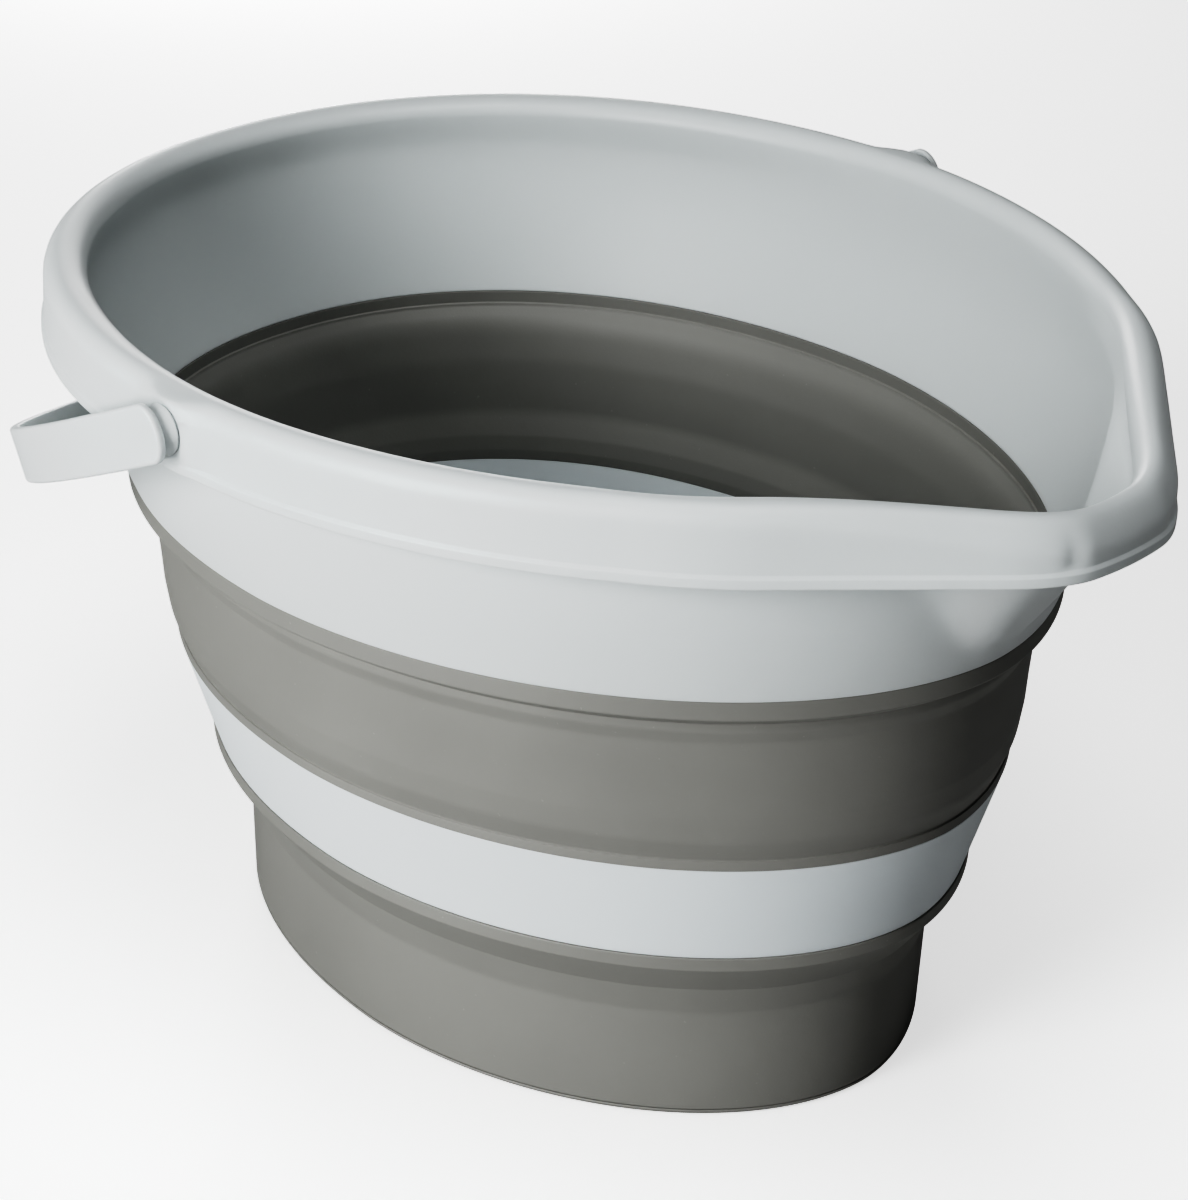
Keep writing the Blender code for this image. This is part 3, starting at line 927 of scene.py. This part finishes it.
def shape_rear(piece):
    """Round the rear half of the rim: a broader roll inside, and a skirt that flares a little."""
    sizes = bpy.context.scene.bucket_sizes
    skirt_bottom = RIM_HEIGHT - sizes.skirt_depth
    for vertex in piece.data.vertices:
        place = vertex.co
        if place.x > 0.0 or place.z < skirt_bottom - REAR_MARGIN:
            continue
        along = (abs(place.x) / (LIP_HALF + REAR_EXTRA_RIM)) ** REAR_FULLNESS
        across = (abs(place.y) / LIP_HALF) ** REAR_FULLNESS
        flat = Vector((place.x, place.y, 0.0))
        inside = flat.length * (1.0 / (along + across) ** (1.0 / REAR_FULLNESS) - 1.0)
        down = (LIP_CENTRE - place.z) / (LIP_CENTRE - skirt_bottom)
        roll = smooth_step(inside / LIP_RADIUS)
        roll *= smooth_step((place.z - LIP_CENTRE + REAR_ROLL_DEPTH) / REAR_ROLL_DEPTH)
        flare = smooth_step((-inside - REAR_FLARE_START) / REAR_FLARE_FADE) * max(down, 0.0)
        shift = sizes.rear_flare * flare - sizes.rear_roll * roll
        place += flat.normalized() * shift * smooth_step(-place.x / REAR_ONSET)


def deepen_lip(piece):
    """Roll the lip over more broadly round the spout, where liquid runs over it."""
    sizes = bpy.context.scene.bucket_sizes
    for vertex in piece.data.vertices:
        place = vertex.co
        across = abs(place.y)
        share = 1.0 - smooth_step((across - SPILL_HALF) / SPILL_FADE)
        if place.x < SPILL_START or share <= 0.0:
            continue
        crest = RIM_HEIGHT - sizes.spout_dip * dip_share(sizes, across)
        down = max(crest - place.z, 0.0)
        inward = sizes.crest_shift * share * (1.0 - smooth_step(down / CREST_DEPTH))
        place.z -= down * SPILL_SHARE * share * (1.0 - smooth_step(down / SPILL_DEPTH))
        sideways = SPOUT_FLANK_SLOPE * smooth_step(across / SPOUT_NOSE_HALF)
        away = Vector((1.0, math.copysign(sideways, place.y), 0.0)).normalized()
        place -= away * inward


def fold_corners(piece):
    """Press a shallow upright fold into the skirt beside both corners of the spout."""
    sizes = bpy.context.scene.bucket_sizes
    bead_top = RIM_HEIGHT - sizes.skirt_depth + sizes.bead_height
    for vertex in piece.data.vertices:
        place = vertex.co
        from_fold = abs(place.y) - FOLD_FROM_MIDDLE
        if place.x < FOLD_START or abs(from_fold) > FOLD_REACH:
            continue
        face = FOLD_FACE - FOLD_FACE_SLOPE * abs(place.y)
        outer = smooth_step((place.x - face) / FOLD_FACE_FADE)
        rise = smooth_step((place.z - bead_top) / FOLD_FOOT_FADE)
        rise *= 1.0 - smooth_step((place.z - FOLD_TOP) / FOLD_TOP_FADE)
        place.x -= sizes.corner_fold * outer * rise * math.exp(-((from_fold / FOLD_WIDTH) ** 2))


class OBJECT_OT_bucket_collar(bpy.types.Operator):
    """Make the rim, skirt, spout and collar wall, with the pivot bosses"""

    bl_idname = "object.bucket_collar"
    bl_label = "Collar and spout"

    def execute(self, context):
        finish = context.scene.bucket_finish
        material = hard_plastic("collar_plastic", finish.hard_colour, finish.hard_roughness)
        collar = moulding("collar_moulding", collar_section(), material)
        raise_mounds(collar)
        shape_rear(collar)
        deepen_lip(collar)
        fold_corners(collar)
        bosses = turned_pair("pivot_bosses", BOSS_PROFILE, BOSS_SEGMENTS, material)
        for piece in (collar, bosses):
            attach(piece, "collar")
        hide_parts("rim_collar")
        return {"FINISHED"}


class OBJECT_OT_bucket_bands(bpy.types.Operator):
    """Make the two soft folding bands"""

    bl_idname = "object.bucket_bands"
    bl_label = "Folding bands"

    def execute(self, context):
        finish = context.scene.bucket_finish
        material = soft_plastic("band_rubber", finish.soft_colour, finish.soft_roughness)
        upper = moulding("upper_fold", upper_band_section(), material)
        lower = moulding("lower_fold", lower_band_section(), material)
        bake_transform(upper)
        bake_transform(lower)
        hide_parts("upper_fold_band")
        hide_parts("lower_fold_band")
        return {"FINISHED"}


class OBJECT_OT_bucket_ring(bpy.types.Operator):
    """Make the hard ring between the two folds"""

    bl_idname = "object.bucket_ring"
    bl_label = "Middle ring"

    def execute(self, context):
        finish = context.scene.bucket_finish
        material = hard_plastic("ring_plastic", finish.ring_colour, finish.hard_roughness)
        ring = moulding("ring_moulding", ring_section(), material)
        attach(ring, "ring")
        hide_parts("middle_ring")
        return {"FINISHED"}


class OBJECT_OT_bucket_base(bpy.types.Operator):
    """Make the floor plate and the soft foot round it"""

    bl_idname = "object.bucket_base"
    bl_label = "Base"

    def execute(self, context):
        finish = context.scene.bucket_finish
        rubber = soft_plastic("foot_rubber", finish.soft_colour, finish.soft_roughness)
        plastic = hard_plastic("floor_plastic", finish.hard_colour, finish.hard_roughness)
        foot = moulding("foot_ring", foot_section(), rubber)
        plate = make_floor_plate(plastic)
        for piece, node in ((foot, "base_foot"), (plate, "base_plate")):
            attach(piece, "base")
            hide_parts(node)
        return {"FINISHED"}


class OBJECT_OT_bucket_bail(bpy.types.Operator):
    """Make the strap bail with its ears and snap studs"""

    bl_idname = "object.bucket_bail"
    bl_label = "Bail"

    def execute(self, context):
        finish = context.scene.bucket_finish
        material = hard_plastic("bail_plastic", finish.hard_colour, finish.hard_roughness)
        strap = make_strap(material)
        studs = turned_pair("bail_studs", STUD_PROFILE, STUD_SEGMENTS, material)
        for piece in (strap, studs):
            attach(piece, "bail")
        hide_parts("handle_bail")
        return {"FINISHED"}


def camera_axes(studio):
    """Right, up and backward directions of the camera."""
    turn, rise, roll = studio.azimuth, studio.elevation, studio.roll
    level = math.cos(rise)
    back = Vector((math.sin(turn) * level, -math.cos(turn) * level, math.sin(rise)))
    level_right = Vector((math.cos(turn), math.sin(turn), 0.0))
    level_up = back.cross(level_right)
    right = level_right * math.cos(roll) + level_up * math.sin(roll)
    up = level_up * math.cos(roll) - level_right * math.sin(roll)
    return right, up, back


def make_camera(studio):
    """The camera at the photograph's viewing angle."""
    place = Vector(studio.target) + camera_axes(studio)[2] * studio.distance
    data = bpy.data.cameras.new("studio_camera")
    data.lens = studio.lens
    data.sensor_width = SENSOR_WIDTH
    camera = bpy.data.objects.new("studio_camera", data)
    turned = Matrix(camera_axes(studio)).transposed().to_4x4()
    camera.matrix_world = Matrix.Translation(place) @ turned
    bpy.context.scene.collection.objects.link(camera)
    bpy.context.scene.camera = camera


def make_lights(studio):
    """Four soft round lights: key and low on the left, one behind the bucket and one above it."""
    middle = Vector(studio.target)
    right, _, back = camera_axes(studio)
    level_back = Vector((back.x, back.y, 0.0)).normalized()
    # Name, power, disk size, and the way from the middle: towards the camera, right and up
    lights = (
        ("key_light", studio.key_power, 0.75, 0.9936, -1.04256, 0.66),
        ("low_light", studio.low_power, 0.45, 0.9936, -1.04256, -0.02),
        ("rear_light", studio.rear_power, 0.6, -1.6, -0.25, 0.26),
        ("top_light", studio.top_power, 0.9, 0.41, 0.14, 1.55),
    )
    for name, power, size, nearer, rightward, higher in lights:
        way = level_back * nearer + right * rightward + Vector((0.0, 0.0, higher))
        data = bpy.data.lights.new(name, "AREA")
        data.energy = power
        data.shape = "DISK"
        data.size = size
        light = bpy.data.objects.new(name, data)
        light.location = middle + way
        light.rotation_euler = (-way).to_track_quat("-Z", "Y").to_euler()
        bpy.context.scene.collection.objects.link(light)


def seen_and_lit(tree, lit, seen):
    """A value for the camera's own rays, and another for all other light."""
    path = tree.nodes.new("ShaderNodeLightPath")
    return ranged(tree, path, "Is Camera Ray", (0.0, 1.0), (lit, seen))


def floor_paper(studio):
    """Pale paper on a light table: it looks bright, and throws only a little light back up."""
    paper, tree, shader = new_material("floor_paper")
    set_inputs(shader, {"Roughness": 0.9, "Emission Color": (1.0, 1.0, 1.0, 1.0)})
    glow = seen_and_lit(tree, 0.0, studio.floor_glow)
    node_link(tree, glow, "Result", shader, "Emission Strength")
    lit_colour = shaded(studio.floor_colour, studio.floor_bounce)
    tone = colour_mix(tree, lit_colour, shaded(studio.floor_colour, 1.0))
    node_link(tree, seen_and_lit(tree, 0.0, 1.0), "Result", tone, "Factor")
    node_link(tree, tone, "Result", shader, "Base Color")
    return paper


def make_floor(studio):
    """A level floor, wide enough to fill the view."""
    builder = bmesh.new()
    bmesh.ops.create_grid(
        builder, x_segments=FLOOR_SQUARES, y_segments=FLOOR_SQUARES, size=FLOOR_HALF
    )
    floor = finish_mesh("studio_floor", builder, floor_paper(studio), weighted=False)


def make_sky(studio):
    """An even faint light from all sides, behind which the camera sees a pale background."""
    world = bpy.data.worlds.new("studio_sky")
    world.use_nodes = True
    tree = world.node_tree
    sky = tree.nodes["Background"]
    set_inputs(sky, {"Color": (1.0, 1.0, 1.0, 1.0)})
    glow = seen_and_lit(tree, studio.sky, BACKGROUND_GLOW)
    node_link(tree, glow, "Result", sky, "Strength")
    bpy.context.scene.world = world


def printed(light):
    """How bright this much light prints: deep shades, and a slow climb to white."""
    lifted = light**TONE_CONTRAST
    body = TONE_CEILING * lifted / (lifted + TONE_MIDDLE**TONE_CONTRAST)
    return body + TONE_TAIL_SLOPE * max(light - TONE_TAIL_START, 0.0)


def grade(settings):
    """A contrasty print: deep shades, and lit plastic held just below white."""
    settings.view_transform = "Standard"
    settings.use_curve_mapping = True
    mapping = settings.curve_mapping
    mapping.white_level = (TONE_END, TONE_END, TONE_END)
    points = [(light / TONE_END, printed(light)) for light in TONE_LIGHTS + (TONE_END,)]
    curve = mapping.curves[3]
    curve.points[0].location = points[0]
    curve.points[-1].location = points[-1]
    for place in points[1:-1]:
        curve.points.new(*place)
    mapping.update()


class OBJECT_OT_bucket_stage(bpy.types.Operator):
    """Set up the floor, the soft light and the camera"""

    bl_idname = "object.bucket_stage"
    bl_label = "Stage"

    def execute(self, context):
        studio = context.scene.bucket_studio
        make_camera(studio)
        make_floor(studio)
        make_lights(studio)
        make_sky(studio)
        grade(context.scene.view_settings)
        return {"FINISHED"}


PIECES = (
    OBJECT_OT_bucket_collar,
    OBJECT_OT_bucket_bands,
    OBJECT_OT_bucket_ring,
    OBJECT_OT_bucket_base,
    OBJECT_OT_bucket_bail,
    OBJECT_OT_bucket_stage,
)
GROUPS = (
    ("bucket_sizes", BucketSizes),
    ("bucket_finish", BucketFinish),
    ("bucket_studio", BucketStudio),
)


class VIEW3D_PT_bucket(bpy.types.Panel):
    """Lists the bucket's pieces, sizes and finishes"""

    bl_label = "Folding bucket"
    bl_space_type = "VIEW_3D"
    bl_region_type = "UI"
    bl_category = "Bucket"

    def draw(self, context):
        for piece in PIECES:
            self.layout.operator(piece.bl_idname)
        for group_name, _ in GROUPS:
            group = getattr(context.scene, group_name)
            box = self.layout.box()
            for name in group.bl_rna.properties.keys():
                if name not in ("rna_type", "name"):
                    box.prop(group, name)


def register():
    for name, group in GROUPS:
        bpy.utils.register_class(group)
        setattr(bpy.types.Scene, name, PointerProperty(type=group))
    for made in PIECES + (VIEW3D_PT_bucket,):
        bpy.utils.register_class(made)


def unregister():
    for made in (VIEW3D_PT_bucket,) + PIECES[::-1]:
        bpy.utils.unregister_class(made)
    for name, group in GROUPS[::-1]:
        delattr(bpy.types.Scene, name)
        bpy.utils.unregister_class(group)


def main():
    register()
    bpy.ops.object.bucket_collar()
    bpy.ops.object.bucket_bands()
    bpy.ops.object.bucket_ring()
    bpy.ops.object.bucket_base()
    bpy.ops.object.bucket_bail()
    bpy.ops.object.bucket_stage()


if __name__ == "__main__":
    main()
